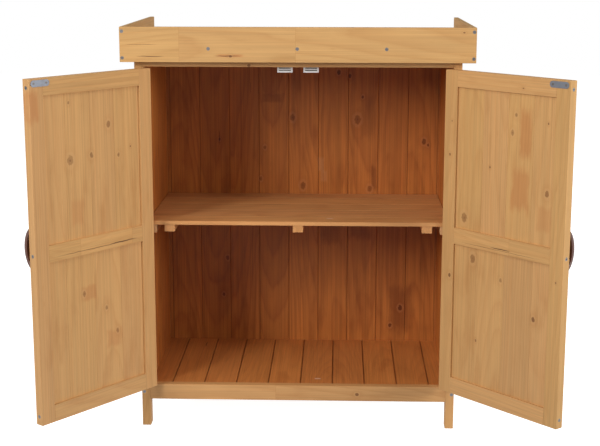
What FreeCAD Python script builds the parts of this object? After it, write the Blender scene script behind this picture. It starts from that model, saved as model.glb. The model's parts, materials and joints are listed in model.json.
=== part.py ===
"""Potting bench: a framed and boarded timber cabinet with two doors, a shelf and a rimmed worktop.

Millimetres.  +X is to the right, +Y away from the front, +Z up.  The origin is on the floor, at the
centre of the rectangle that the four legs stand on.  The doors are drawn closed, from their own hinge
pins, and their Placement swings them open.
"""
import FreeCAD, Part
import Sketcher
import os

VECTOR = FreeCAD.Vector
DOC = FreeCAD.newDocument("PottingBench")

# ---------------------------------------------------------------- driving dimensions

DIMENSIONS = (
    ("cabinet_width", 745, "over the legs"),
    ("cabinet_depth", 417, "over the legs"),
    ("leg_width", 20, "seen from the front"),
    ("leg_depth", 32, "seen from the side"),
    ("rail_thickness", 20, "front, back and door rails"),
    ("rail_height", 37, "bottom rails of the cabinet"),
    ("side_rail_thickness", 11, "side rails, outside the boards"),
    ("bottom_rail_low", 66.5, "floor to the underside of the bottom rails"),
    ("top_rail_low", 860.5, "floor to the underside of the top rails"),
    ("worktop_low", 894.5, "floor to the underside of the worktop"),
    ("worktop_thickness", 18, "planks of the worktop"),
    ("worktop_plank_count", 5, "planks of the worktop, front to back"),
    ("worktop_plank_gap", 1.5, "between planks"),
    ("rim_width", 800, "over the rim"),
    ("rim_depth", 482, "over the rim"),
    ("rim_top", 952, "floor to the top of the rim"),
    ("rim_height", 79, "boards of the rim"),
    ("rim_thickness", 11, "boards of the rim"),
    ("front_overhang", 29.5, "front of the rim ahead of the legs"),
    ("board_thickness", 9, "matched boards"),
    ("board_pitch", 77, "matched boards of the walls and floor, joint to joint"),
    ("shelf_pitch", 80, "boards of the shelf, joint to joint"),
    ("upper_panel_pitch", 71, "boards of a door's upper panel, joint to joint"),
    ("lower_panel_pitch", 80.5, "boards of a door's lower panel, joint to joint"),
    ("wall_gap", 0.3, "between the shoulders of wall boards"),
    ("wall_vee", 0.8, "chamfer on each arris of a wall joint"),
    ("floor_gap", 1.5, "between the shoulders of floor boards"),
    ("floor_vee", 1, "chamfer on each arris of a floor joint"),
    ("shelf_gap", 0.4, "between the shoulders of shelf boards"),
    ("shelf_vee", 1.1, "chamfer on each arris of a shelf joint"),
    ("panel_gap", 0.15, "between the shoulders of door boards"),
    ("panel_vee", 0.35, "chamfer on each arris of a door joint"),
    ("tongue_length", 4, "tongue of a matched board"),
    ("tongue_clearance", 0.1, "groove wider than tongue, each side"),
    ("back_first_board", 9, "left trimmed board of the back wall"),
    ("floor_first_board", 51, "left trimmed board of the floor"),
    ("side_first_board", 45, "front trimmed board of a side wall"),
    ("shelf_first_board", 62, "front trimmed board of the shelf"),
    ("upper_panel_first_board", 82.5, "beside the hinge stile, from the bottom of its groove"),
    ("lower_panel_first_board", 73.5, "beside the hinge stile, from the bottom of its groove"),
    ("floor_top", 100.5, "floor to the top of the cabinet's own floor"),
    ("bearer_size", 20, "square bearers and ledgers"),
    ("shelf_top", 498, "floor to the top of the shelf"),
    ("shelf_setback", 22, "front of the shelf behind the front of the legs"),
    ("shelf_clearance", 1, "shelf to each side wall"),
    ("batten_width", 24, "shelf and worktop battens"),
    ("batten_height", 17, "shelf and worktop battens"),
    ("shelf_batten_reach", 302, "outer shelf battens from the centre"),
    ("worktop_batten_reach", 200, "outer worktop battens and rim screws from the centre"),
    ("door_thickness", 20, "frame of a door"),
    ("stile_width", 36.5, "stiles of a door"),
    ("door_rail_height", 37, "top and middle rails of a door"),
    ("door_bottom_rail", 38.5, "bottom rail of a door"),
    ("door_middle_top", 502, "floor to the top of a middle rail"),
    ("door_groove", 8, "depth of the groove and length of the tenon"),
    ("door_board_inset", 7, "board in the groove"),
    ("door_board_face", 6, "boards behind the outer face"),
    ("door_side_gap", 1.5, "door to leg"),
    ("door_meeting_gap", 2, "door to door"),
    ("door_top_gap", 1.5, "door to top rail"),
    ("door_bottom_gap", 3.5, "door to bottom rail"),
    ("left_door_angle", 127, "left door open"),
    ("right_door_angle", 132, "right door open"),
    ("pin_standoff", 4.8, "hinge pin ahead of the front of the legs"),
    ("pin_radius", 2.5, "hinge pin"),
    ("pin_clearance", 0.08, "door leaf round the pin, radial"),
    ("knuckle_radius", 4.5, "outside of a knuckle"),
    ("leaf_thickness", 1.5, "hinge leaf"),
    ("leaf_length", 60, "hinge leaf, and its knuckles together"),
    ("leaf_reach", 18.75, "far edge of a leaf from the pin"),
    ("hinge_inset", 110, "middle of a hinge from the end of the door"),
    ("catch_centre", 30, "catches and strike plates from the centre line"),
    ("catch_width", 35, "plastic body"),
    ("catch_height", 12, "plastic body"),
    ("catch_depth", 17, "plastic body"),
    ("catch_face", 21.9, "front of the body behind the front of the legs"),
    ("catch_plate_width", 51, "mounting plate over its ears"),
    ("catch_plate_thickness", 2, "mounting plate"),
    ("pole_width", 27, "pole plates"),
    ("pole_thickness", 2, "pole plates"),
    ("pole_proud", 0.6, "pole plates ahead of the body"),
    ("pole_spacing", 4.8, "pole plate to pole plate, centres"),
    ("block_width", 140, "block that the catches hang from"),
    ("strike_length", 50, "strike plate"),
    ("strike_width", 14, "strike plate"),
    ("strike_thickness", 1, "strike plate"),
    ("strike_drop", 10, "middle of the strike plate below the top of the door"),
    ("strike_hole_spacing", 34, "screws of a strike plate"),
    ("handle_height", 496, "floor to the middle of a handle"),
    ("handle_standoff", 30.5, "outside of the arch from the door"),
    ("handle_half_length", 48.5, "outside of the arch, half length"),
    ("handle_bar", 9, "thickness of the arch"),
    ("handle_width", 16, "handle, side to side"),
    ("handle_foot", 12, "each foot beyond the arch"),
    ("handle_foot_thickness", 2.6, "feet of a handle"),
    ("rim_upper_screw", 10, "upper end screw below the top of the rim"),
    ("rim_lower_screw", 69.5, "lower end screw below the top of the rim"),
    ("screw_stagger", 8, "sideways screws below the screws from the front and back"),
    ("large_head", 8, "head of a frame screw"),
    ("large_shank", 4, "shank of a frame screw"),
    ("large_length", 45, "frame screw"),
    ("small_head", 5.6, "head of a fitting screw"),
    ("small_shank", 2.8, "shank of a fitting screw"),
    ("small_length", 13, "fitting screw"),
)


def fill_sheet():
    """Put every driving dimension in the spreadsheet, one row each, under its own alias."""
    sheet = DOC.addObject("Spreadsheet::Sheet", "Dims")
    for row, (alias, number, note) in enumerate(DIMENSIONS, 1):
        sheet.set("A%d" % row, alias)
        sheet.set("B%d" % row, str(number))
        sheet.set("C%d" % row, note)
        sheet.setAlias("B%d" % row, alias)
    DOC.recompute()
    return sheet


SHEET = fill_sheet()


def size(formula):
    """The number that a formula over the sheet's aliases gives now."""
    found = SHEET.evalExpression(formula)
    return float(getattr(found, "Value", found))


# Places that many pieces share, as formulas over the sheet.
OUTER = "Dims.cabinet_width / 2"
INNER = "(Dims.cabinet_width / 2 - Dims.leg_width)"
CLEAR_WIDTH = "(Dims.cabinet_width - 2 * Dims.leg_width)"
FRONT = "(-Dims.cabinet_depth / 2)"
BACK = "(Dims.cabinet_depth / 2)"
BACK_RAIL = "(Dims.cabinet_depth / 2 - Dims.rail_thickness)"
BACK_BOARD = "(Dims.cabinet_depth / 2 - Dims.rail_thickness - Dims.board_thickness)"
BEHIND_FRONT_RAIL = "(-Dims.cabinet_depth / 2 + Dims.rail_thickness)"
ROOM_DEPTH = "(Dims.cabinet_depth - 2 * Dims.rail_thickness - Dims.board_thickness)"
SIDE_LENGTH = "(Dims.cabinet_depth - 2 * Dims.leg_depth)"
TOP_RAIL_HEIGHT = "(Dims.worktop_low - Dims.top_rail_low)"
BOTTOM_RAIL_TOP = "(Dims.bottom_rail_low + Dims.rail_height)"
RIM_FRONT = "(-Dims.cabinet_depth / 2 - Dims.front_overhang)"
WORKTOP_FRONT = "(-Dims.cabinet_depth / 2 - Dims.front_overhang + Dims.rim_thickness)"
WORKTOP_DEPTH = "(Dims.rim_depth - Dims.rim_thickness)"
SHELF_LOW = "(Dims.shelf_top - Dims.board_thickness)"

DOOR_WIDTH = "(Dims.cabinet_width / 2 - Dims.leg_width - Dims.door_side_gap - Dims.door_meeting_gap / 2)"
DOOR_LOW = "(Dims.bottom_rail_low + Dims.rail_height + Dims.door_bottom_gap)"
DOOR_TOP = "(Dims.top_rail_low - Dims.door_top_gap)"
DOOR_EDGE = "(Dims.door_side_gap / 2)"
STILE_MIDDLE = "(%s + %s - Dims.stile_width / 2)" % (DOOR_EDGE, DOOR_WIDTH)
PIN_X = "(Dims.cabinet_width / 2 - Dims.leg_width - Dims.door_side_gap / 2)"
PIN_Y = "(-Dims.cabinet_depth / 2 - Dims.pin_standoff)"
CATCH_TOP = "(Dims.top_rail_low - Dims.catch_plate_thickness)"

LEFT, RIGHT = -1, 1
SIDES = (("left", LEFT), ("right", RIGHT))
THREE_ABREAST = (("left", -1), ("middle", 0), ("right", 1))


# ---------------------------------------------------------------- making pieces

def add(kind, label):
    """A new object of the document with its label."""
    piece = DOC.addObject(kind, label)
    piece.Label = label
    return piece


def bind(piece, **formulas):
    """Bind properties to formulas; a double underscore in a name stands for a dot."""
    for name, formula in formulas.items():
        piece.setExpression(name.replace("__", "."), formula)
    return piece


def timber(label, across, deep, high):
    """A squared timber; across, deep and high are its (low side, size) along X, Y and Z."""
    return bind(add("Part::Box", label),
                Length=across[1], Width=deep[1], Height=high[1],
                Placement__Base__x=across[0], Placement__Base__y=deep[0], Placement__Base__z=high[0])


def timber_group(label, timbers):
    """Like timbers under one label."""
    group = add("Part::Compound", label)
    group.Links = timbers
    return group


def drilled(label, blank, *holes):
    """The blank with each group of screw holes cut out of it, under the label of the finished piece."""
    for number, hole in enumerate(holes, 1):
        cut = DOC.addObject("Part::Cut", "%s_drilled_%d" % (label, number))
        cut.Base = blank
        cut.Tool = hole
        blank = cut
    blank.Label = label
    return blank


def solid_group(label, solids):
    """A piece, or a group of like pieces, whose shape is worked out here."""
    piece = add("Part::Feature", label)
    piece.Shape = Part.makeCompound(solids) if len(solids) > 1 else solids[0]
    return piece


def mirrored(side, low, extent):
    """The low side of an extent on the left or right: a left door runs to +X, a right door to -X."""
    return low if side == LEFT else "(-(%s) - (%s))" % (low, extent)


# ---------------------------------------------------------------- screws

LARGE = ("Dims.large_head", "Dims.large_shank", "Dims.large_length")
SMALL = ("Dims.small_head", "Dims.small_shank", "Dims.small_length")


def screw(point, direction, kind, recess):
    """A countersunk screw whose head is flush at the point and whose shank runs along the direction."""
    head, shank, length = (size(formula) for formula in kind)
    flare = (head - shank) / 2
    cone = Part.makeCone(head / 2, shank / 2, flare, point, direction)
    shape = cone.fuse(Part.makeCylinder(shank / 2, length - flare, point + direction * flare, direction))
    shape = shape.removeSplitter()
    if not recess:
        return shape
    across = direction.cross(VECTOR(0, 0, 1)) if abs(direction.z) < 0.5 else VECTOR(1, 0, 0)
    slot_long, slot_wide, slot_deep = head * 0.55, head * 0.12, head * 0.2
    for along in (across, direction.cross(across)):
        slot = Part.makeBox(slot_long, slot_wide, slot_deep, VECTOR(-slot_long / 2, -slot_wide / 2, 0))
        slot.Placement = FreeCAD.Placement(point, FreeCAD.Rotation(along, direction.cross(along), direction))
        shape = shape.cut(slot)
    return shape


def screws_at(kind, places, recess):
    """One screw at each (point, direction)."""
    return [screw(point, direction, kind, recess) for point, direction in places]


def screw_group(label, kind, places):
    """A group of screws, and the plain shapes that bore their holes."""
    return (solid_group(label, screws_at(kind, places, recess=True)),
            solid_group(label + "_holes", screws_at(kind, places, recess=False)))


def rim_screw_places():
    """Two at each end of the front board, three in its middle, and three in each side board."""
    places = []
    front = size(RIM_FRONT)
    rim_top = size("Dims.rim_top")
    end_inset = size("Dims.rim_thickness / 2")
    plank_middle = size("Dims.worktop_low + Dims.worktop_thickness / 2")
    half = size("Dims.rim_width / 2")
    plank_pitch = (size(WORKTOP_DEPTH) + size("Dims.worktop_plank_gap")) / size("Dims.worktop_plank_count")
    for side in (LEFT, RIGHT):
        for drop in (size("Dims.rim_upper_screw"), size("Dims.rim_lower_screw")):
            places.append((VECTOR(side * (half - end_inset), front, rim_top - drop), VECTOR(0, 1, 0)))
        for plank in (0, 2, 4):
            along = size(WORKTOP_FRONT) + plank_pitch * (plank + 0.5)
            places.append((VECTOR(side * half, along, plank_middle), VECTOR(-side, 0, 0)))
    for step in (-1, 0, 1):
        across = step * size("Dims.worktop_batten_reach")
        places.append((VECTOR(across, front, plank_middle), VECTOR(0, 1, 0)))
    return places


def frame_screw_places():
    """Through the legs: one into the end of each side rail, one into each end of the front and back rails."""
    places = []
    side_rail = size(OUTER) - size("Dims.side_rail_thickness") / 2
    outer = size(OUTER)
    front, back = size(FRONT), size(BACK)
    rail_middle = size("Dims.rail_thickness / 2")
    bottom = size("Dims.bottom_rail_low + Dims.rail_height / 2")
    top = size("(Dims.top_rail_low + Dims.worktop_low) / 2")
    stagger = size("Dims.screw_stagger")
    for side in (LEFT, RIGHT):
        for height in (bottom, top):
            places.append((VECTOR(side * side_rail, front, height), VECTOR(0, 1, 0)))
            places.append((VECTOR(side * side_rail, back, height), VECTOR(0, -1, 0)))
            for along in (front + rail_middle, back - rail_middle):
                places.append((VECTOR(side * outer, along, height - stagger), VECTOR(-side, 0, 0)))
    return places


def hinge_middles():
    """Heights of the middles of the lower and upper hinge."""
    return (size("%s + Dims.hinge_inset" % DOOR_LOW), size("%s - Dims.hinge_inset" % DOOR_TOP))


def leaf_screw_heights():
    """Heights of the three screws of each hinge leaf."""
    spread = size("Dims.leaf_length") / 3
    return [middle + step * spread for middle in hinge_middles() for step in (-1, 0, 1)]


def leaf_screw_reach():
    """How far the screws of a leaf stand from the pin."""
    return size("(Dims.leaf_reach + Dims.knuckle_radius) / 2")


def frame_leaf_screw_places():
    """Three screws in each frame leaf, into the fronts of the front legs."""
    across = size(PIN_X) + leaf_screw_reach()
    face = size(FRONT) - size("Dims.leaf_thickness")
    return [(VECTOR(side * across, face, height), VECTOR(0, 1, 0))
            for side in (LEFT, RIGHT) for height in leaf_screw_heights()]


def catch_screw_places():
    """One screw up through each ear of each mounting plate."""
    ear = size("(Dims.catch_plate_width + Dims.catch_width) / 4")
    depth = size(FRONT) + size("Dims.catch_face + Dims.catch_depth / 2")
    return [(VECTOR(side * size("Dims.catch_centre") + reach, depth, size(CATCH_TOP)), VECTOR(0, 0, 1))
            for side in (LEFT, RIGHT) for reach in (-ear, ear)]


def stile_screw_places(side):
    """Through both stiles of a closed door into the ends of its three rails."""
    hand = -side
    near = size(DOOR_EDGE)
    far = near + size(DOOR_WIDTH)
    middle = size("Dims.pin_standoff + Dims.door_thickness / 2")
    places = []
    for height in (size("%s + Dims.door_bottom_rail / 2" % DOOR_LOW),
                   size("Dims.door_middle_top - Dims.door_rail_height / 2"),
                   size("%s - Dims.door_rail_height / 2" % DOOR_TOP)):
        places.append((VECTOR(hand * far, middle, height), VECTOR(-hand, 0, 0)))
        places.append((VECTOR(hand * near, middle, height), VECTOR(hand, 0, 0)))
    return places


def door_fitting_screw_places(side):
    """Screws of the strike plate, handle and hinge leaves of a closed door."""
    hand = -side
    face = size("Dims.pin_standoff")
    inside = face + size("Dims.door_thickness")
    top = size(DOOR_TOP)
    places = []
    strike_middle = size(PIN_X) - size("Dims.catch_centre")
    strike_face = inside + size("Dims.strike_thickness")
    for reach in (-0.5, 0.5):
        across = strike_middle + reach * size("Dims.strike_hole_spacing")
        place = VECTOR(hand * across, strike_face, top - size("Dims.strike_drop"))
        places.append((place, VECTOR(0, -1, 0)))
    foot = size("Dims.handle_half_length + Dims.handle_foot / 2")
    handle_face = face - size("Dims.handle_foot_thickness")
    for step in (-1, 1):
        place = VECTOR(hand * size(STILE_MIDDLE), handle_face, size("Dims.handle_height") + step * foot)
        places.append((place, VECTOR(0, 1, 0)))
    for height in leaf_screw_heights():
        place = VECTOR(hand * leaf_screw_reach(), face - size("Dims.leaf_thickness"), height)
        places.append((place, VECTOR(0, 1, 0)))
    return places


def door_screw_group(name, side):
    """All the screws of a closed door, and the plain shapes that bore their holes."""
    label = "%s_door_screws" % name
    large, small = stile_screw_places(side), door_fitting_screw_places(side)
    groups = [screws_at(LARGE, large, recess) + screws_at(SMALL, small, recess) for recess in (True, False)]
    return solid_group(label, groups[0]), solid_group(label + "_holes", groups[1])


# ---------------------------------------------------------------- matched boards

def board_edges(first, pitch, total):
    """Joint lines across a boarded panel: its edge, the trimmed first board, then the pitch, to its far edge."""
    least = pitch / 4
    edges = [0.0]
    line = first
    while line < total - least:
        edges.append(line)
        line += pitch
    return edges + [total]


def matched_board(low, high, length, gap, vee, grooved, tongued):
    """One board from low to high along X, as thick as +Y, as long as +Z; joints have vees on both faces."""
    thick = size("Dims.board_thickness")
    tongue = size("Dims.tongue_length")
    play = size("Dims.tongue_clearance")
    third = thick / 3
    shoulder = high - gap if tongued else high
    left_vee = vee if grooved else 0
    right_vee = vee if tongued else 0
    outline = [(low + left_vee, 0), (shoulder - right_vee, 0)]
    if tongued:
        outline += [(shoulder, vee), (shoulder, third), (shoulder + tongue, third),
                    (shoulder + tongue, 2 * third), (shoulder, 2 * third), (shoulder, thick - vee)]
    outline += [(shoulder - right_vee, thick), (low + left_vee, thick)]
    if grooved:
        depth = tongue + gap
        outline += [(low, thick - vee), (low, 2 * third + play), (low + depth, 2 * third + play),
                    (low + depth, third - play), (low, third - play), (low, vee)]
    points = [VECTOR(x, y, 0) for x, y in outline]
    return Part.Face(Part.makePolygon(points + points[:1])).extrude(VECTOR(0, 0, length))


def matched_boards(panel, joint, total, length):
    """All the boards of a panel, side by side along X.

    The panel is its (first board, pitch), and the joint names the gap and the vee of its matched joints.
    """
    first, pitch = (size(formula) for formula in panel)
    gap, vee = size("Dims.%s_gap" % joint), size("Dims.%s_vee" % joint)
    edges = board_edges(first, pitch, total)
    last = len(edges) - 2
    return [matched_board(edges[i], edges[i + 1], length, gap, vee, grooved=i > 0, tongued=i < last)
            for i in range(last + 1)]


UPRIGHT = FreeCAD.Rotation()
ALONG_SIDE = FreeCAD.Rotation(VECTOR(0, 0, 1), 90)
FLAT_ALONG_Y = FreeCAD.Rotation(VECTOR(1, 0, 0), -90)
FLAT_ALONG_X = FreeCAD.Rotation(VECTOR(1, 1, 1), 120)


def lay(piece, x, y, z, rotation):
    """Put a boarded panel in its place."""
    piece.Placement = FreeCAD.Placement(VECTOR(size(x), size(y), size(z)), rotation)
    return piece


# ---------------------------------------------------------------- the cabinet

def leg(label, side, low_y, *holes):
    """A leg: its section sketched and padded up from the floor, then drilled."""
    body = DOC.addObject("PartDesign::Body", label + "_body")
    sketch = body.newObject("Sketcher::SketchObject", label + "_section")
    floor = [plane for plane in body.Origin.OriginFeatures if plane.Role == "XY_Plane"]
    sketch.AttachmentSupport = [(floor[0], "")]
    sketch.MapMode = "FlatFace"
    rectangle(sketch, "Dims.leg_width", "Dims.leg_depth")
    pad = body.newObject("PartDesign::Pad", label + "_length")
    pad.Profile = sketch
    bind(pad, Length="Dims.worktop_low")
    low_x = "-" + OUTER if side == LEFT else INNER
    bind(body, Placement__Base__x=low_x, Placement__Base__y=low_y)
    return drilled(label, body, *holes)


def rectangle(sketch, width, height):
    """A closed rectangle from the sketch's origin, held by constraints that read the sheet."""
    across, up = size(width), size(height)
    corners = [VECTOR(0, 0, 0), VECTOR(across, 0, 0), VECTOR(across, up, 0), VECTOR(0, up, 0)]
    for start, end in zip(corners, corners[1:] + corners[:1]):
        sketch.addGeometry(Part.LineSegment(start, end), False)
    for line in range(4):
        sketch.addConstraint(Sketcher.Constraint("Coincident", line, 2, (line + 1) % 4, 1))
    for line, rule in enumerate(("Horizontal", "Vertical", "Horizontal", "Vertical")):
        sketch.addConstraint(Sketcher.Constraint(rule, line))
    sketch.addConstraint(Sketcher.Constraint("Coincident", 0, 1, -1, 1))
    wide = sketch.addConstraint(Sketcher.Constraint("DistanceX", 0, 1, 0, 2, across))
    tall = sketch.addConstraint(Sketcher.Constraint("DistanceY", 1, 1, 1, 2, up))
    sketch.setExpression("Constraints[%d]" % wide, width)
    sketch.setExpression("Constraints[%d]" % tall, height)


def cabinet_frame(frame_holes, small_holes):
    """Legs, and the rails between them at the top and bottom of all four sides."""
    nodes = []
    back_leg = "Dims.cabinet_depth / 2 - Dims.leg_depth"
    for name, side in SIDES:
        nodes.append(leg("front_%s_leg" % name, side, FRONT, frame_holes, small_holes))
        nodes.append(leg("back_%s_leg" % name, side, back_leg, frame_holes))
    levels = (("bottom", ("Dims.bottom_rail_low", "Dims.rail_height")),
              ("top", ("Dims.top_rail_low", TOP_RAIL_HEIGHT)))
    between = ("-" + INNER, CLEAR_WIDTH)
    for level, high in levels:
        for name, low_y in (("front", FRONT), ("back", BACK_RAIL)):
            label = "%s_%s_rail" % (name, level)
            blank = timber(label + "_blank", between, (low_y, "Dims.rail_thickness"), high)
            nodes.append(drilled(label, blank, frame_holes))
        for name, side in SIDES:
            label = "%s_side_%s_rail" % (name, level)
            low_x = "-" + OUTER if side == LEFT else "%s - Dims.side_rail_thickness" % OUTER
            blank = timber(label + "_blank", (low_x, "Dims.side_rail_thickness"),
                           (FRONT + " + Dims.leg_depth", SIDE_LENGTH), high)
            nodes.append(drilled(label, blank, frame_holes))
    return nodes


def cabinet_boards():
    """Back wall, side walls and floor of matched boards, and the bearers under the floor."""
    nodes = []
    pitch = "Dims.board_pitch"
    clear = size(CLEAR_WIDTH)
    height = size("Dims.worktop_low - Dims.bottom_rail_low")
    back = solid_group("back_boards", matched_boards(("Dims.back_first_board", pitch), "wall", clear, height))
    nodes.append(lay(back, "-" + INNER, BACK_BOARD, "Dims.bottom_rail_low", UPRIGHT))
    for name, side in SIDES:
        walls = matched_boards(("Dims.side_first_board", pitch), "wall", size(SIDE_LENGTH), height)
        wall = solid_group("%s_side_boards" % name, walls)
        inner_face = "-" + INNER if side == LEFT else INNER + " + Dims.board_thickness"
        nodes.append(lay(wall, inner_face, FRONT + " + Dims.leg_depth", "Dims.bottom_rail_low", ALONG_SIDE))
    floor = matched_boards(("Dims.floor_first_board", pitch), "floor", clear, size(ROOM_DEPTH))
    nodes.append(lay(solid_group("floor_boards", floor), "-" + INNER, BEHIND_FRONT_RAIL, "Dims.floor_top",
                     FLAT_ALONG_Y))
    bearer_low = "Dims.floor_top - Dims.board_thickness - Dims.bearer_size"
    bearers = [timber("%s_floor_bearer" % name, ("-" + INNER, CLEAR_WIDTH),
                      (low_y, "Dims.bearer_size"), (bearer_low, "Dims.bearer_size"))
               for name, low_y in (("front", BEHIND_FRONT_RAIL), ("back", BACK_BOARD + " - Dims.bearer_size"))]
    nodes.append(timber_group("floor_bearers", bearers))
    return nodes


def shelf():
    """Matched boards laid left to right on three battens, resting on a ledger at each side wall."""
    nodes = []
    width = size(CLEAR_WIDTH + " - 2 * Dims.shelf_clearance")
    behind = 2
    depth = size("Dims.cabinet_depth - Dims.rail_thickness - Dims.board_thickness - Dims.shelf_setback") - behind
    boards = matched_boards(("Dims.shelf_first_board", "Dims.shelf_pitch"), "shelf", depth, width)
    for number, board in enumerate(boards, 1):
        piece = solid_group("shelf_board_%d" % number, [board])
        nodes.append(lay(piece, "-" + INNER + " + Dims.shelf_clearance", FRONT + " + Dims.shelf_setback",
                         SHELF_LOW, FLAT_ALONG_X))
    end_inset = 2
    run = (FRONT + " + Dims.shelf_setback + %d" % end_inset, str(depth - 2 * end_inset))
    battens = []
    for name, step in THREE_ABREAST:
        low_x = "%d * Dims.shelf_batten_reach - Dims.batten_width / 2" % step
        battens.append(timber("shelf_%s_batten" % name, (low_x, "Dims.batten_width"), run,
                              (SHELF_LOW + " - Dims.batten_height", "Dims.batten_height")))
    nodes.append(timber_group("shelf_battens", battens))
    ledgers = []
    for name, side in SIDES:
        low_x = "-" + INNER if side == LEFT else INNER + " - Dims.bearer_size"
        ledgers.append(timber("shelf_%s_ledger" % name, (low_x, "Dims.bearer_size"), run,
                              (SHELF_LOW + " - Dims.bearer_size", "Dims.bearer_size")))
    nodes.append(timber_group("shelf_ledgers", ledgers))
    return nodes


def worktop(frame_holes):
    """Planks on three battens, with the rim's boards round the front and both sides."""
    nodes = []
    count = int(size("Dims.worktop_plank_count"))
    plank = "(%s - (Dims.worktop_plank_count - 1) * Dims.worktop_plank_gap) / Dims.worktop_plank_count"
    plank_depth = plank % WORKTOP_DEPTH
    width = ("-Dims.rim_width / 2 + Dims.rim_thickness", "Dims.rim_width - 2 * Dims.rim_thickness")
    planks = []
    for number in range(count):
        low_y = "%s + %d * (%s + Dims.worktop_plank_gap)" % (WORKTOP_FRONT, number, plank_depth)
        planks.append(timber("worktop_plank_%d" % (number + 1), width, (low_y, plank_depth),
                             ("Dims.worktop_low", "Dims.worktop_thickness")))
    nodes.append(drilled("worktop_planks", timber_group("worktop_planks_blank", planks), frame_holes))

    battens = []
    for name, step in THREE_ABREAST:
        low_x = "%d * Dims.worktop_batten_reach - Dims.batten_width / 2" % step
        battens.append(timber("worktop_%s_batten" % name, (low_x, "Dims.batten_width"),
                              (BEHIND_FRONT_RAIL, ROOM_DEPTH),
                              ("Dims.worktop_low - Dims.batten_height", "Dims.batten_height")))
    nodes.append(timber_group("worktop_battens", battens))

    rim_low = "Dims.rim_top - Dims.rim_height"
    blank = timber("front_rim_blank", ("-Dims.rim_width / 2", "Dims.rim_width"),
                   (RIM_FRONT, "Dims.rim_thickness"), (rim_low, "Dims.rim_height"))
    nodes.append(drilled("front_rim_board", blank, frame_holes))
    for name, side in SIDES:
        low_x = "-Dims.rim_width / 2" if side == LEFT else "Dims.rim_width / 2 - Dims.rim_thickness"
        blank = timber("%s_rim_blank" % name, (low_x, "Dims.rim_thickness"),
                       (WORKTOP_FRONT, WORKTOP_DEPTH), (rim_low, "Dims.rim_height"))
        nodes.append(drilled("%s_rim_board" % name, blank, frame_holes))
    return nodes


# ---------------------------------------------------------------- catches

def body_box(body, kind, name, across, deep, high):
    """A box added to a body or taken from it, sized and placed by formulas."""
    box = body.newObject("PartDesign::%sBox" % kind, name)
    bind(box, Length=across[1], Width=deep[1], Height=high[1],
         Placement__Base__x=across[0], Placement__Base__y=deep[0], Placement__Base__z=high[0])
    return box


def catches(small_holes):
    """Two magnetic catches on mounting plates, under a block behind the top rail."""
    nodes = []
    block = timber("catch_block_blank", ("-Dims.block_width / 2", "Dims.block_width"),
                   (BEHIND_FRONT_RAIL, "Dims.batten_width"), ("Dims.top_rail_low", "Dims.batten_height"))
    nodes.append(drilled("catch_block", block, small_holes))

    face = FRONT + " + Dims.catch_face"
    pole_front = face + " - Dims.pole_proud"
    pole_length = "Dims.catch_depth - 3"
    pole_top = CATCH_TOP + " - 1"
    slot = ("-Dims.pole_width / 2", "Dims.pole_width")
    magnet_front = face + " + 2"
    magnet_depth = "Dims.catch_depth - 5.6"
    magnet_low = pole_top + " - Dims.pole_spacing"
    magnet_height = "Dims.pole_spacing - Dims.pole_thickness"
    poles = []
    magnets = []
    plates = []
    for name, side in SIDES:
        centre = "%d * Dims.catch_centre" % side
        body = DOC.addObject("PartDesign::Body", "%s_catch_body" % name)
        body.Label = "%s_catch_body" % name
        body_box(body, "Additive", name + "_catch_case", ("-Dims.catch_width / 2", "Dims.catch_width"),
                 (face, "Dims.catch_depth"), (CATCH_TOP + " - Dims.catch_height", "Dims.catch_height"))
        body_box(body, "Subtractive", name + "_magnet_pocket", slot, (magnet_front, magnet_depth),
                 (magnet_low, magnet_height))
        for step in (0, 1):
            pole_low = "%s - Dims.pole_thickness - %d * Dims.pole_spacing" % (pole_top, step)
            body_box(body, "Subtractive", "%s_pole_slot_%d" % (name, step), slot,
                     (pole_front, pole_length), (pole_low, "Dims.pole_thickness"))
            poles.append(timber("%s_pole_plate_%d" % (name, step), (centre + " - Dims.pole_width / 2", slot[1]),
                                (pole_front, pole_length), (pole_low, "Dims.pole_thickness")))
        bind(body, Placement__Base__x=centre)
        nodes.append(body)
        magnets.append(timber("%s_magnet" % name, (centre + " - Dims.pole_width / 2", slot[1]),
                              (magnet_front, magnet_depth), (magnet_low, magnet_height)))
        plates.append(timber("%s_catch_plate" % name,
                             (centre + " - Dims.catch_plate_width / 2", "Dims.catch_plate_width"),
                             (face, "Dims.catch_depth"), (CATCH_TOP, "Dims.catch_plate_thickness")))
    nodes.append(timber_group("catch_pole_plates", poles))
    nodes.append(timber_group("catch_magnets", magnets))
    nodes.append(drilled("catch_mounting_plates", timber_group("catch_plates_blank", plates), small_holes))
    return nodes


# ---------------------------------------------------------------- doors

def hang(piece, side):
    """Swing a door piece, drawn closed from its hinge pin, to where the door stands open."""
    angle = "Dims.left_door_angle" if side == LEFT else "Dims.right_door_angle"
    axis = VECTOR(0, 0, side)
    piece.Placement = FreeCAD.Placement(VECTOR(0, 0, 0), FreeCAD.Rotation(axis, size(angle)))
    return bind(piece, Placement__Base__x="%d * %s" % (side, PIN_X), Placement__Base__y=PIN_Y,
                Placement__Rotation__Angle=angle)


def door_member(label, side, along, high, grooves, tenoned, holes):
    """A stile or rail: along is its (near side, length) from the pin; grooves are (along, high) pairs."""
    body = DOC.addObject("PartDesign::Body", label + "_body")
    deep = ("Dims.pin_standoff", "Dims.door_thickness")
    groove_deep = ("Dims.pin_standoff + Dims.door_board_face", "Dims.board_thickness")
    body_box(body, "Additive", label + "_blank", (mirrored(side, *along), along[1]), deep, high)
    if tenoned:
        reach = ("%s - Dims.door_groove" % along[0], "%s + 2 * Dims.door_groove" % along[1])
        body_box(body, "Additive", label + "_tenons", (mirrored(side, *reach), reach[1]), groove_deep, high)
    for number, (groove_along, groove_high) in enumerate(grooves, 1):
        body_box(body, "Subtractive", "%s_groove_%d" % (label, number),
                 (mirrored(side, *groove_along), groove_along[1]), groove_deep, groove_high)
    return hang(drilled(label, body, holes), side)


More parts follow.
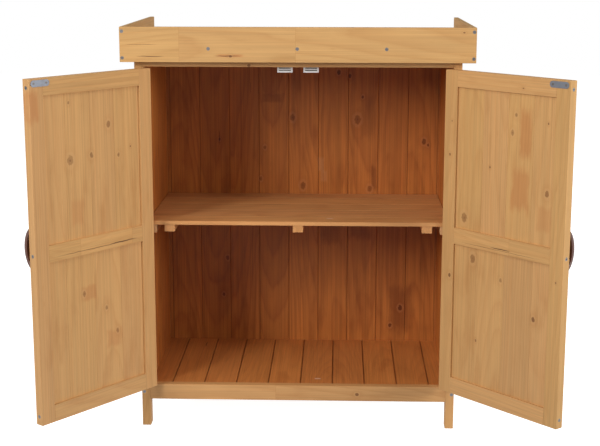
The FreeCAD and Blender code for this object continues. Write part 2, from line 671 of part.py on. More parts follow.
def door_frame(name, side, holes):
    """Two full-height stiles with three tenoned rails between them, all grooved for the boards."""
    full_height = (DOOR_LOW, "%s - %s" % (DOOR_TOP, DOOR_LOW))
    free_stile = "%s + %s - Dims.stile_width" % (DOOR_EDGE, DOOR_WIDTH)
    hinge_groove = ("%s + Dims.stile_width - Dims.door_groove" % DOOR_EDGE, "Dims.door_groove")
    free_groove = (free_stile, "Dims.door_groove")
    label = name + "_door_%s"
    nodes = [
        door_member(label % "hinge_stile", side, (DOOR_EDGE, "Dims.stile_width"), full_height,
                    [(hinge_groove, full_height)], False, holes),
        door_member(label % "free_stile", side, (free_stile, "Dims.stile_width"), full_height,
                    [(free_groove, full_height)], False, holes)]
    rail = ("%s + Dims.stile_width" % DOOR_EDGE, "%s - 2 * Dims.stile_width" % DOOR_WIDTH)
    over_tenons = ("%s - Dims.door_groove" % rail[0], "%s + 2 * Dims.door_groove" % rail[1])
    middle_low = "Dims.door_middle_top - Dims.door_rail_height"
    rails = (("top_rail", "%s - Dims.door_rail_height" % DOOR_TOP, "Dims.door_rail_height", True, False),
             ("middle_rail", middle_low, "Dims.door_rail_height", True, True),
             ("bottom_rail", DOOR_LOW, "Dims.door_bottom_rail", False, True))
    for rail_name, low, height, below, above in rails:
        grooves = []
        if below:
            grooves.append((over_tenons, (low, "Dims.door_groove")))
        if above:
            grooves.append((over_tenons, ("%s + %s - Dims.door_groove" % (low, height), "Dims.door_groove")))
        nodes.append(door_member(label % rail_name, side, rail, (low, height), grooves, True, holes))
    return nodes


def door_boards(name, side):
    """The boards of a door's lower and upper panels, let in to the grooves of its frame."""
    width = size("%s - 2 * Dims.stile_width + 2 * Dims.door_board_inset" % DOOR_WIDTH)
    near = size("%s + Dims.stile_width - Dims.door_board_inset" % DOOR_EDGE)
    inset = size("Dims.door_board_inset")
    middle_top = size("Dims.door_middle_top")
    panels = (("lower", size("%s + Dims.door_bottom_rail" % DOOR_LOW),
               middle_top - size("Dims.door_rail_height")),
              ("upper", middle_top, size("%s - Dims.door_rail_height" % DOOR_TOP)))
    solids = []
    for panel, low, high in panels:
        layout = ("Dims.%s_panel_first_board" % panel, "Dims.%s_panel_pitch" % panel)
        for board in matched_boards(layout, "panel", width, high - low + 2 * inset):
            if side == RIGHT:
                board = board.mirror(VECTOR(0, 0, 0), VECTOR(1, 0, 0))
            board.translate(VECTOR(-side * near, size("Dims.pin_standoff + Dims.door_board_face"), low - inset))
            solids.append(board)
    return hang(solid_group("%s_door_boards" % name, solids), side)


def strike_plate(name, side, holes):
    """A round-ended zinc plate on the inner face, with a shallow round-ended recess between its screws."""
    thick = size("Dims.strike_thickness")
    radius = size("Dims.strike_width / 2")
    half = size("Dims.strike_length / 2") - radius
    rim, recess = 1.8, 0.35
    plate = round_ended(half, radius, thick)
    pocket = round_ended(half, radius - rim, recess)
    pocket.translate(VECTOR(0, 0, thick - recess))
    plate = plate.cut(pocket)
    middle = VECTOR(-side * (size(PIN_X) - size("Dims.catch_centre")),
                    size("Dims.pin_standoff + Dims.door_thickness"),
                    size(DOOR_TOP) - size("Dims.strike_drop"))
    plate.Placement = FreeCAD.Placement(middle, FreeCAD.Rotation(VECTOR(1, 0, 0), -90))
    blank = DOC.addObject("Part::Feature", "%s_door_strike_blank" % name)
    blank.Shape = plate
    return hang(drilled("%s_door_strike_plate" % name, blank, holes), side)


def round_ended(half, radius, thick):
    """A flat bar along X with round ends, lying on z = 0."""
    bar = Part.makeBox(2 * half, 2 * radius, thick, VECTOR(-half, -radius, 0))
    for end in (-half, half):
        bar = bar.fuse(Part.makeCylinder(radius, thick, VECTOR(end, 0, 0)))
    return bar.removeSplitter()


def handle(name, side, holes):
    """An arched pull: a half-elliptical bow with eased edges, on two round-ended feet."""
    standoff = size("Dims.handle_standoff")
    half = size("Dims.handle_half_length")
    bar = size("Dims.handle_bar")
    width = size("Dims.handle_width")
    foot = size("Dims.handle_foot")
    foot_thick = size("Dims.handle_foot_thickness")
    easing = 2.5

    def oval(long_radius, short_radius):
        curve = Part.Ellipse(VECTOR(0, 0, 0), long_radius, short_radius)
        return Part.Face(Part.Wire(curve.toShape())).extrude(VECTOR(0, 0, width))

    bow = oval(half, standoff).cut(oval(half - bar, standoff - bar))
    bow = bow.makeFillet(easing, [edge for edge in bow.Edges if isinstance(edge.Curve, Part.Ellipse)])
    bow = bow.common(Part.makeBox(4 * half, 2 * half, width, VECTOR(-2 * half, 0, 0)))
    bow.translate(VECTOR(0, 0, -width / 2))
    for end in (-1, 1):
        pad = round_ended(foot / 2, width / 2 - 1, foot_thick)
        pad.Placement = FreeCAD.Placement(VECTOR(end * (half + foot / 2 - bar / 2), 0, 0),
                                          FreeCAD.Rotation(VECTOR(1, 0, 0), -90))
        bow = bow.fuse(pad)
    bow = bow.removeSplitter()
    # The bow is drawn with its length along X and its arch to +Y; it stands upright, arched to the front.
    across = size(STILE_MIDDLE)
    upright = FreeCAD.Rotation(VECTOR(0, 0, 1), VECTOR(0, -1, 0), VECTOR(1, 0, 0))
    bow.Placement = FreeCAD.Placement(VECTOR(-side * across, size("Dims.pin_standoff"),
                                             size("Dims.handle_height")), upright)
    blank = DOC.addObject("Part::Feature", "%s_door_handle_blank" % name)
    blank.Shape = bow
    return hang(drilled("%s_door_handle" % name, blank, holes), side)


# ---------------------------------------------------------------- hinges

KNUCKLES = 5


def hinge_leaf(hand, middle, own, bore):
    """A leaf from the pin outward to hand, its back on the timber; own says which knuckles are its own."""
    reach = size("Dims.leaf_reach")
    thick = size("Dims.leaf_thickness")
    length = size("Dims.leaf_length")
    radius = size("Dims.knuckle_radius")
    standoff = size("Dims.pin_standoff")
    near = size(DOOR_EDGE)
    clearance = 0.4
    step = length / KNUCKLES
    low_x = near if hand > 0 else -reach
    leaf = Part.makeBox(reach - near, thick, length,
                        VECTOR(low_x, standoff - thick, middle - length / 2))
    for number in range(KNUCKLES):
        low = middle - length / 2 + number * step
        if number % 2 == own:
            barrel = Part.makeCylinder(radius, step, VECTOR(0, 0, low), VECTOR(0, 0, 1))
            leaf = leaf.fuse(barrel)
        else:
            notch = Part.makeCylinder(radius + clearance, step, VECTOR(0, 0, low), VECTOR(0, 0, 1))
            leaf = leaf.cut(notch)
    for number in range(1, KNUCKLES):
        cut = Part.makeCylinder(radius + clearance, clearance,
                                VECTOR(0, 0, middle - length / 2 + number * step - clearance / 2),
                                VECTOR(0, 0, 1))
        leaf = leaf.cut(cut)
    pin_hole = Part.makeCylinder(bore, length, VECTOR(0, 0, middle - length / 2), VECTOR(0, 0, 1))
    return leaf.cut(pin_hole).removeSplitter()


def hinges(small_holes, door_holes):
    """Two hinges per door: frame leaves and pins stay with the cabinet, door leaves swing."""
    door_nodes = []
    pin_radius = size("Dims.pin_radius")
    frame_leaves = []
    pins = []
    head = 1.2
    for name, side in SIDES:
        pin_place = VECTOR(side * size(PIN_X), size(PIN_Y), 0)
        for middle in hinge_middles():
            leaf = hinge_leaf(side, middle, 0, pin_radius)
            leaf.translate(pin_place)
            frame_leaves.append(leaf)
            length = size("Dims.leaf_length")
            low = pin_place + VECTOR(0, 0, middle - length / 2)
            pin = Part.makeCylinder(pin_radius, length, low, VECTOR(0, 0, 1))
            for end, way in ((0, -1), (length, 1)):
                cap = Part.makeCone(pin_radius + head, pin_radius, head, low + VECTOR(0, 0, end),
                                    VECTOR(0, 0, way))
                pin = pin.fuse(cap)
            pins.append(pin.removeSplitter())
        bore = pin_radius + size("Dims.pin_clearance")
        leaves = [hinge_leaf(-side, middle, 1, bore) for middle in hinge_middles()]
        blank = solid_group("%s_door_leaf_blanks" % name, leaves)
        door_nodes.append(hang(drilled("%s_door_hinge_leaves" % name, blank, door_holes[name]), side))
    blank = solid_group("frame_leaf_blanks", frame_leaves)
    return door_nodes + [drilled("hinge_frame_leaves", blank, small_holes), solid_group("hinge_pins", pins)]


# ---------------------------------------------------------------- the whole bench

def build():
    """Every sub-part of the bench, in the order in which it goes together."""
    frame_screws, frame_holes = screw_group("frame_screws", LARGE, frame_screw_places() + rim_screw_places())
    small_screws, small_holes = screw_group("fitting_screws", SMALL,
                                            frame_leaf_screw_places() + catch_screw_places())
    nodes = [frame_screws, small_screws]
    nodes += cabinet_frame(frame_holes, small_holes)
    nodes += cabinet_boards()
    nodes += shelf()
    nodes += worktop(frame_holes)
    nodes += catches(small_holes)
    door_holes = {}
    for name, side in SIDES:
        screws, door_holes[name] = door_screw_group(name, side)
        nodes.append(hang(screws, side))
        nodes += door_frame(name, side, door_holes[name])
        nodes.append(door_boards(name, side))
        nodes.append(strike_plate(name, side, door_holes[name]))
        nodes.append(handle(name, side, door_holes[name]))
    return nodes + hinges(small_holes, door_holes)


def check(nodes):
    """Stop if any object failed to compute, or any sub-part has no sound shape."""
    for piece in DOC.Objects:
        if "Invalid" in piece.State or "Error" in piece.State:
            raise RuntimeError("%s did not compute: %s" % (piece.Name, piece.State))
    for node in nodes:
        if node.Shape.isNull() or not node.Shape.isValid() or node.Shape.Volume <= 0:
            raise RuntimeError("%s has no sound shape" % node.Label)


def export(nodes):
    """Write one STEP file per sub-part, named by its label."""
    os.makedirs("parts", exist_ok=True)
    for node in nodes:
        node.Shape.exportStep("parts/%s.step" % node.Label)
        print("%-28s solids %2d  volume %10.1f mm3" % (node.Label, len(node.Shape.Solids), node.Shape.Volume))
    print("%d sub-parts" % len(nodes))


NODES = build()
DOC.recompute()
check(NODES)
export(NODES)
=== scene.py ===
"""Looks of the potting bench: timber with its grain, knots and joints, fittings, studio and camera.

Metres, in the row's frame: +X to the right, +Y away from the front, +Z up, the origin on the floor.
Every timber is a CAD node with a material of its own, and all but the boarded panels and shelf boards
have softened arrises.  The grain is worked out in board space: along the grain, across the wide face, and
through the thickness.
"""
import json
import math

import bpy
from mathutils import Matrix, Vector


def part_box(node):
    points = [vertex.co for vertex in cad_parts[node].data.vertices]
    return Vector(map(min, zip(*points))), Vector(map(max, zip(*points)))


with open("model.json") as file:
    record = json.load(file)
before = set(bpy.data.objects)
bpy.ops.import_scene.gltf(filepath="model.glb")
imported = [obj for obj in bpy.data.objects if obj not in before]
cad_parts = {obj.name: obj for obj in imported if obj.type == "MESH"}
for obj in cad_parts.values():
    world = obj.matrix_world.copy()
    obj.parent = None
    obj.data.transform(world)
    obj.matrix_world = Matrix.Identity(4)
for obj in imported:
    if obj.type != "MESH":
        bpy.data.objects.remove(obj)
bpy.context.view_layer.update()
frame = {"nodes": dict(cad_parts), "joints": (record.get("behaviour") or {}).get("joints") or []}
NODES = frame["nodes"]
JOINTS = {joint["name"]: joint for joint in frame["joints"]}
MILLIMETRE = 0.001


# ---------------------------------------------------------------- shader graphs

class Graph:
    """A node tree, with one short method per kind of node; arguments may be numbers or sockets."""

    def __init__(self, tree):
        self.tree = tree

    def node(self, kind, **settings):
        made = self.tree.nodes.new(kind)
        for name, setting in settings.items():
            setattr(made, name, setting)
        return made

    def put(self, socket, value):
        if isinstance(value, bpy.types.NodeSocket):
            self.tree.links.new(value, socket)
        else:
            socket.default_value = value

    def math(self, operation, first, second=0.0, clamp=False):
        made = self.node("ShaderNodeMath", operation=operation, use_clamp=clamp)
        self.put(made.inputs[0], first)
        self.put(made.inputs[1], second)
        return made.outputs[0]

    def add(self, *terms):
        total = terms[0]
        for term in terms[1:]:
            total = self.math("ADD", total, term)
        return total

    def times(self, first, second):
        return self.math("MULTIPLY", first, second)

    def vector(self, operation, first, second=(0.0, 0.0, 0.0)):
        made = self.node("ShaderNodeVectorMath", operation=operation)
        self.put(made.inputs[0], first)
        self.put(made.inputs[1], second)
        return made.outputs["Value" if operation in ("LENGTH", "DOT_PRODUCT") else "Vector"]

    def split(self, vector):
        made = self.node("ShaderNodeSeparateXYZ")
        self.put(made.inputs[0], vector)
        return made.outputs[0], made.outputs[1], made.outputs[2]

    def combine(self, first, second, third):
        made = self.node("ShaderNodeCombineXYZ")
        for socket, value in zip(made.inputs, (first, second, third)):
            self.put(socket, value)
        return made.outputs[0]

    def noise(self, vector, detail=2.0, roughness=0.5):
        made = self.node("ShaderNodeTexNoise")
        self.put(made.inputs["Vector"], vector)
        made.inputs["Scale"].default_value = 1.0
        made.inputs["Detail"].default_value = detail
        made.inputs["Roughness"].default_value = roughness
        return made.outputs[0]

    def signed(self, vector, detail=2.0):
        """Noise about zero, from about -1 to 1."""
        return self.times(self.math("SUBTRACT", self.noise(vector, detail), 0.5), 2.0)

    def random(self, value):
        """Three random numbers from 0 to 1 that depend on one number."""
        made = self.node("ShaderNodeTexWhiteNoise", noise_dimensions="1D")
        self.put(made.inputs["W"], value)
        return self.split(made.outputs["Color"])

    def range(self, value, low, high, to_low=0.0, to_high=1.0, kind="SMOOTHSTEP"):
        made = self.node("ShaderNodeMapRange", interpolation_type=kind)
        for name, number in (("Value", value), ("From Min", low), ("From Max", high),
                             ("To Min", to_low), ("To Max", to_high)):
            self.put(made.inputs[name], number)
        return made.outputs[0]

    def ramp(self, factor, stops, interpolation="LINEAR"):
        """A ramp of grey levels at the given places."""
        made = self.node("ShaderNodeValToRGB")
        ramp = made.color_ramp
        ramp.interpolation = interpolation
        while len(ramp.elements) < len(stops):
            ramp.elements.new(0.5)
        for element, (place, grey) in zip(ramp.elements, stops):
            element.position = place
            element.color = (grey, grey, grey, 1.0)
        self.put(made.inputs[0], factor)
        return made.outputs[0]

    def mix(self, factor, first, second, blend="MIX"):
        made = self.node("ShaderNodeMix", data_type="RGBA", blend_type=blend)
        self.put(made.inputs[0], factor)
        self.put(made.inputs[6], first)
        self.put(made.inputs[7], second)
        return made.outputs[2]


def colour(red, green, blue):
    """A linear colour from one written in 8-bit display values."""
    def linear(level):
        share = level / 255
        return share / 12.92 if share <= 0.04045 else ((share + 0.055) / 1.055) ** 2.4
    return (linear(red), linear(green), linear(blue), 1.0)


def new_group(name, inputs, outputs):
    """An empty node group, its graph, its input sockets by name and its output node."""
    tree = bpy.data.node_groups.new(name, "ShaderNodeTree")
    for label, kind in inputs:
        tree.interface.new_socket(label, in_out="INPUT", socket_type="NodeSocket" + kind)
    for label, kind in outputs:
        tree.interface.new_socket(label, in_out="OUTPUT", socket_type="NodeSocket" + kind)
    graph = Graph(tree)
    entrance = graph.node("NodeGroupInput")
    return tree, graph, entrance.outputs, graph.node("NodeGroupOutput").inputs


def use_group(graph, tree, **values):
    """A group in a graph, with its inputs given by name, underscores standing for spaces."""
    made = graph.node("ShaderNodeGroup")
    made.node_tree = tree
    for name, value in values.items():
        graph.put(made.inputs[name.replace("_", " ")], value)
    return made.outputs


# ---------------------------------------------------------------- wood, in board space

def make_knot_group():
    """A knot: bends the grain round it, and adds to a pale ring, a dark heart and a stained halo.

    Every distance is in knot radii, and edges are given as where an effect starts and where it is full.
    """
    longer, bend_longer = 0.72, 0.3       # squeeze along the grain, so that outlines are ovals
    uneven, bend, bend_fade = 0.45, -0.85, -0.22
    heart_edge, pith_edge, halo_edge = (0.98, 0.72), (0.35, 0.1), (3.4, 1.2)
    ring_outside, ring_inside = (1.9, 1.3), (0.75, 1.05)
    tree, graph, given, result = new_group(
        "Knot",
        (("Board", "Vector"), ("Centre", "Vector"), ("Radius", "Float"), ("Darkness", "Float"),
         ("Push", "Float"), ("Ring", "Float"), ("Core", "Float"), ("Halo", "Float")),
        (("Push", "Float"), ("Ring", "Float"), ("Core", "Float"), ("Halo", "Float")))
    away = graph.vector("SUBTRACT", given["Board"], given["Centre"])
    along, across, _ = graph.split(away)
    wobble = graph.signed(graph.vector("MULTIPLY", given["Board"], (150.0, 150.0, 150.0)), 2.0)
    oval = graph.vector("LENGTH", graph.combine(graph.times(along, longer), across, 0.0))
    reach = graph.add(graph.math("DIVIDE", oval, given["Radius"]), graph.times(wobble, uneven))
    flow = graph.vector("LENGTH", graph.combine(graph.times(along, bend_longer), across, 0.0))
    flow = graph.math("DIVIDE", flow, given["Radius"])
    near = graph.math("EXPONENT", graph.times(graph.times(flow, flow), bend_fade))
    push = graph.times(graph.times(across, near), bend)
    graph.put(result["Push"], graph.add(given["Push"], push))
    ring = graph.times(graph.range(reach, *ring_outside), graph.range(reach, *ring_inside))
    graph.put(result["Ring"], graph.math("MAXIMUM", given["Ring"], graph.times(ring, 0.5)))
    heart = graph.times(graph.range(reach, *heart_edge),
                        graph.add(graph.times(given["Darkness"], 0.6), 0.3))
    pith = graph.times(graph.range(reach, *pith_edge), 0.7)
    core = graph.math("MAXIMUM", heart, pith)
    graph.put(result["Core"], graph.math("MAXIMUM", given["Core"], core))
    stain = graph.add(graph.times(given["Darkness"], 0.6), 0.35)
    halo = graph.times(graph.range(reach, *halo_edge), stain)
    graph.put(result["Halo"], graph.math("MAXIMUM", given["Halo"], halo))
    return tree


def make_crack_group():
    """A drying crack: a long thin lens along the grain that wanders a little."""
    tree, graph, given, result = new_group(
        "Crack",
        (("Board", "Vector"), ("Centre", "Vector"), ("Half Length", "Float"), ("Half Width", "Float"),
         ("Crack", "Float")),
        (("Crack", "Float"),))
    along, across, _ = graph.split(graph.vector("SUBTRACT", given["Board"], given["Centre"]))
    wander = graph.signed(graph.vector("MULTIPLY", given["Board"], (45.0, 0.0, 0.0)), 3.0)
    across = graph.add(across, graph.times(wander, 1.6 * MILLIMETRE))
    lens = graph.vector("LENGTH", graph.combine(graph.math("DIVIDE", along, given["Half Length"]),
                                                graph.math("DIVIDE", across, given["Half Width"]), 0.0))
    graph.put(result["Crack"], graph.math("MAXIMUM", given["Crack"], graph.range(lens, 1.0, 0.55)))
    return tree


def make_patch_group():
    """A stained patch: a rounded block along the grain with an uneven edge."""
    tree, graph, given, result = new_group(
        "Patch",
        (("Board", "Vector"), ("Centre", "Vector"), ("Half Length", "Float"), ("Half Width", "Float")),
        (("Cover", "Float"),))
    along, across, _ = graph.split(graph.vector("SUBTRACT", given["Board"], given["Centre"]))
    lengthwise = graph.math("DIVIDE", graph.math("ABSOLUTE", along), given["Half Length"])
    crosswise = graph.math("DIVIDE", graph.math("ABSOLUTE", across), given["Half Width"])
    uneven = graph.signed(graph.vector("MULTIPLY", given["Board"], (30.0, 90.0, 60.0)), 3.0)
    reach = graph.add(graph.math("MAXIMUM", lengthwise, crosswise), graph.times(uneven, 0.45))
    graph.put(result["Cover"], graph.range(reach, 1.15, 0.55))
    return tree


def make_grain_group():
    """Growth rings cut by the board, with fibres, streaks and blotches.

    Rings are the distance from a pith line that runs along the board, tilts and wanders, so flat faces
    show arches, edges show lines and ends show arcs.
    """
    tree, graph, given, result = new_group(
        "Grain",
        (("Board", "Vector"), ("Seed", "Float"), ("Middle", "Float"), ("Ring Width", "Float"),
         ("Push", "Float"), ("Cell", "Float")),
        (("Latewood", "Float"), ("Fibre", "Float"), ("Streak", "Float"), ("Line", "Float"),
         ("Blotch", "Float"), ("Fleck", "Float")))
    along, across, deep = graph.split(given["Board"])
    seed = graph.add(given["Seed"], graph.times(given["Cell"], 7.31))
    first, second, third = graph.random(seed)
    shift = graph.combine(graph.times(seed, 3.1), graph.times(seed, 1.7), graph.times(seed, 2.3))

    def stretched(scale):
        """Board coordinates, stretched along the grain and different for every board."""
        return graph.vector("ADD", graph.vector("MULTIPLY", given["Board"], scale), shift)

    def field(scale, detail=2.0):
        return graph.signed(stretched(scale), detail)

    # the pith line: to one side of the board's middle, behind its face, tilted, wandering
    side = graph.range(first, 0.0, 1.0, -0.055, 0.055, "LINEAR")
    behind = graph.range(second, 0.0, 1.0, 0.015, 0.070, "LINEAR")
    tilt = graph.range(third, 0.0, 1.0, -0.030, 0.030, "LINEAR")
    away = graph.math("SUBTRACT", across, given["Middle"])
    away = graph.add(away, side, given["Push"], graph.times(field((2.2, 0.0, 0.0)), 0.012))
    below = graph.add(deep, behind, graph.times(along, tilt), graph.times(field((1.7, 5.0, 5.0)), 0.008))
    reach = graph.vector("LENGTH", graph.combine(away, below, 0.0))
    reach = graph.add(reach, graph.times(field((5.0, 60.0, 60.0)), 0.0009))
    uneven = graph.noise(graph.combine(graph.times(reach, 90.0), seed, 0.0), 1.0)
    reach = graph.add(reach, graph.times(uneven, 0.007))
    phase = graph.math("FRACT", graph.math("DIVIDE", reach, given["Ring Width"]))
    latewood = graph.ramp(phase, ((0.0, 0.45), (0.12, 0.05), (0.45, 0.15), (0.80, 0.65), (0.93, 1.0),
                                  (1.0, 0.45)))
    graph.put(result["Latewood"], latewood)
    graph.put(result["Fibre"], field((14.0, 1100.0, 1100.0), 3.0))
    graph.put(result["Streak"], field((1.6, 75.0, 60.0), 3.0))
    graph.put(result["Line"], field((2.5, 330.0, 200.0), 2.0))
    graph.put(result["Blotch"], field((8.0, 26.0, 15.0), 3.0))
    flecks = graph.node("ShaderNodeTexVoronoi")
    graph.put(flecks.inputs["Vector"], stretched((28.0, 260.0, 260.0)))
    flecks.inputs["Scale"].default_value = 1.0
    plain_share = 0.8
    rare = graph.math("GREATER_THAN", graph.split(flecks.outputs["Color"])[0], plain_share)
    graph.put(result["Fleck"], graph.times(graph.range(flecks.outputs["Distance"], 0.3, 0.1), rare))
    return tree


KNOT = make_knot_group()
CRACK = make_crack_group()
PATCH = make_patch_group()
GRAIN = make_grain_group()


class Wood:
    """What one timber, or one boarded panel, looks like."""

    def __init__(self, axes, seed, family, ring=3.4, boards=None, lower_boards=None, tones=None,
                 lengths=(), knots=(), cracks=(), patches=(), door=None, centre=0.0, outer=None):
        self.axes = axes              # row axes that run along, across and through the board
        self.seed = seed
        self.family = family          # the colours, and how strong the figure is
        self.ring = ring * MILLIMETRE
        self.boards = boards          # (first joint, pitch) across a boarded panel, in metres
        self.lower_boards = lower_boards  # (height, first joint, pitch) of another panel below that height
        self.tones = tones            # (brightness, pinkness) of each board in turn
        self.lengths = lengths        # end joints along a timber glued up from lengths
        self.knots = knots            # (along, across, radius in mm, darkness)
        self.cracks = cracks          # (along, across, half length in metres, half width in mm)
        self.patches = patches        # (along, across, half length, half width, colour, strength)
        self.door = door              # the joint that swings the timber, if it is part of a door
        self.centre = centre          # middle of a single timber, across
        self.outer = outer            # faces further out than this take the doors' colours; faces further in keep the wall colours, painted interior shade


def board_space(graph, wood):
    """Board coordinates of a point: a door's point is first swung shut about its hinge."""
    place = graph.node("ShaderNodeTexCoord").outputs["Object"]
    if wood.door:
        joint = JOINTS[wood.door]
        shut = graph.node("ShaderNodeVectorRotate", rotation_type="AXIS_ANGLE")
        graph.put(shut.inputs["Vector"], place)
        shut.inputs["Center"].default_value = joint["pos_m"]
        shut.inputs["Axis"].default_value = joint["axis"]
        shut.inputs["Angle"].default_value = math.radians(joint["range_deg"][0])
        place = shut.outputs[0]
    parts = dict(zip("xyz", graph.split(place)))
    return graph.combine(*(parts[axis] for axis in wood.axes))


def board_cell(graph, across, first, pitch):
    """The number of the board at a place across a panel, and the middle of that board."""
    cell = graph.math("CEIL", graph.math("DIVIDE", graph.math("SUBTRACT", across, first), pitch))
    return cell, graph.add(graph.times(graph.math("SUBTRACT", cell, 0.5), pitch), first)


LOWER_BOARDS_FROM = 10.0    # boards of a lower panel are numbered on from here


def panel_cell(graph, board, wood):
    """The board number and board middle anywhere on a timber or panel."""
    along, across, _ = graph.split(board)
    cell, middle = 0.0, wood.centre
    if wood.boards:
        cell, middle = board_cell(graph, across, *wood.boards)
    if wood.lower_boards:
        height, first, pitch = wood.lower_boards
        below = graph.math("LESS_THAN", along, height)
        other_cell, other_middle = board_cell(graph, across, first, pitch)
        other_cell = graph.add(other_cell, LOWER_BOARDS_FROM)
        cell = graph.add(cell, graph.times(below, graph.math("SUBTRACT", other_cell, cell)))
        middle = graph.add(middle, graph.times(below, graph.math("SUBTRACT", other_middle, middle)))
    for place in wood.lengths:
        cell = graph.add(cell, graph.math("GREATER_THAN", along, place))
    return cell, middle


def board_tone(graph, cell, wood):
    """How bright and how pink each board is: listed, or drawn from its number."""
    if wood.tones:
        count = len(wood.tones)
        place = graph.math("DIVIDE", graph.add(cell, 0.5), count)
        halves = [(number / count, bright / 2) for number, (bright, _) in enumerate(wood.tones)]
        pinks = [(number / count, pink) for number, (_, pink) in enumerate(wood.tones)]
        bright = graph.ramp(place, halves, "CONSTANT")
        pink = graph.ramp(place, pinks, "CONSTANT")
        return graph.times(bright, 2.0), pink
    chance, other, _ = graph.random(graph.add(graph.times(cell, 3.7), wood.seed))
    return graph.range(chance, 0.0, 1.0, 0.95, 1.05, "LINEAR"), other


JOINT_CORE = 0.4    # share of a joint line's width that is fully dark


def end_joints(graph, along, places):
    """1 on the thin lines where lengths of timber meet end to end, elsewhere 0."""
    half_width = 0.6 * MILLIMETRE
    lines = 0.0
    for place in places:
        off = graph.math("ABSOLUTE", graph.math("SUBTRACT", along, place))
        lines = graph.math("MAXIMUM", lines, graph.range(off, half_width, half_width * JOINT_CORE))
    return lines


def painted_seam_shade(graph, across, wood, half_width):
    """1 along the joints of a boarded panel, where painted shade and some dust darken them, elsewhere 0.
    """
    first, pitch = wood.boards
    share = graph.math("FRACT", graph.math("DIVIDE", graph.math("SUBTRACT", across, first), pitch))
    nearest = graph.math("MINIMUM", share, graph.math("SUBTRACT", 1.0, share))
    return graph.range(graph.times(nearest, pitch), half_width, half_width * JOINT_CORE)


def scaled(graph, tint, level):
    """A colour made brighter or darker."""
    return graph.mix(1.0, tint, graph.combine(level, level, level), "MULTIPLY")


def add_knots(graph, board, knots):
    """Everything that a timber's knots do together: push, pale rings, dark cores and halos."""
    push, ring, core, halo = 0.0, 0.0, 0.0, 0.0
    for along, across, radius, darkness in knots:
        knot = use_group(graph, KNOT, Board=board, Centre=(along, across, 0.0), Radius=radius * MILLIMETRE,
                         Darkness=darkness, Push=push, Ring=ring, Core=core, Halo=halo)
        push, ring, core, halo = knot["Push"], knot["Ring"], knot["Core"], knot["Halo"]
    return push, ring, core, halo


def add_cracks(graph, board, cracks):
    """1 inside a timber's drying cracks, elsewhere 0."""
    crack = 0.0
    for along, across, half_length, half_width in cracks:
        crack = use_group(graph, CRACK, Board=board, Centre=(along, across, 0.0), Half_Length=half_length,
                          Half_Width=half_width * MILLIMETRE, Crack=crack)["Crack"]
    return crack


def add_patches(graph, board, tint, patches):
    """A tint with its listed patches laid over it."""
    for along, across, half_length, half_width, patch_colour, strength in patches:
        cover = use_group(graph, PATCH, Board=board, Centre=(along, across, 0.0),
                          Half_Length=half_length, Half_Width=half_width)["Cover"]
        tint = graph.mix(graph.times(cover, strength), tint, patch_colour)
    return tint


def base_pair(graph, board, wood, look):
    """Earlywood and latewood colours; the outer faces of wall boards take the doors' colours, the inner
    faces keep the darker wall colours as painted shade of the cabinet's interior.
    """
    if not wood.outer:
        return look.pale, look.dark
    doors = LOOKS["door"]
    deep = graph.math("ABSOLUTE", graph.split(board)[2])
    outside = graph.math("GREATER_THAN", deep, wood.outer)
    return graph.mix(outside, look.pale, doors.pale), graph.mix(outside, look.dark, doors.dark)


def figured(graph, grain, latewood, board_tones, pair, look):
    """Clear timber: rings, the board's own tone, streaks, fine lines and soft darker patches."""
    bright, pink = board_tones
    pale, dark = pair
    tint = graph.mix(graph.times(latewood, look.rings), pale, dark)
    tint = graph.mix(graph.times(pink, 0.8), tint, graph.mix(1.0, tint, PINK, "MULTIPLY"))
    figure = graph.add(graph.times(grain["Streak"], 0.8), graph.times(grain["Line"], 1.2),
                       graph.times(grain["Blotch"], 0.5), graph.times(grain["Fibre"], 0.6))
    tint = scaled(graph, tint, graph.times(graph.add(1.0, graph.times(figure, look.figure)), bright))
    dip = graph.times(graph.range(grain["Blotch"], -0.08, -0.55), look.patches)
    return graph.mix(dip, tint, dark)


def polish(graph, shader, latewood, fibre, relief):
    """Roughness, sheen and fine relief of planed timber."""
    unevenness = graph.add(latewood, graph.times(fibre, 0.4))
    graph.put(shader.inputs["Roughness"], graph.range(unevenness, -0.4, 1.4, 0.64, 0.50, "LINEAR"))
    shader.inputs["Specular IOR Level"].default_value = 0.25
    bump = graph.node("ShaderNodeBump")
    bump.inputs["Strength"].default_value = 0.4
    bump.inputs["Distance"].default_value = 0.3 * MILLIMETRE
    graph.put(bump.inputs["Height"], relief)
    graph.put(shader.inputs["Normal"], bump.outputs[0])


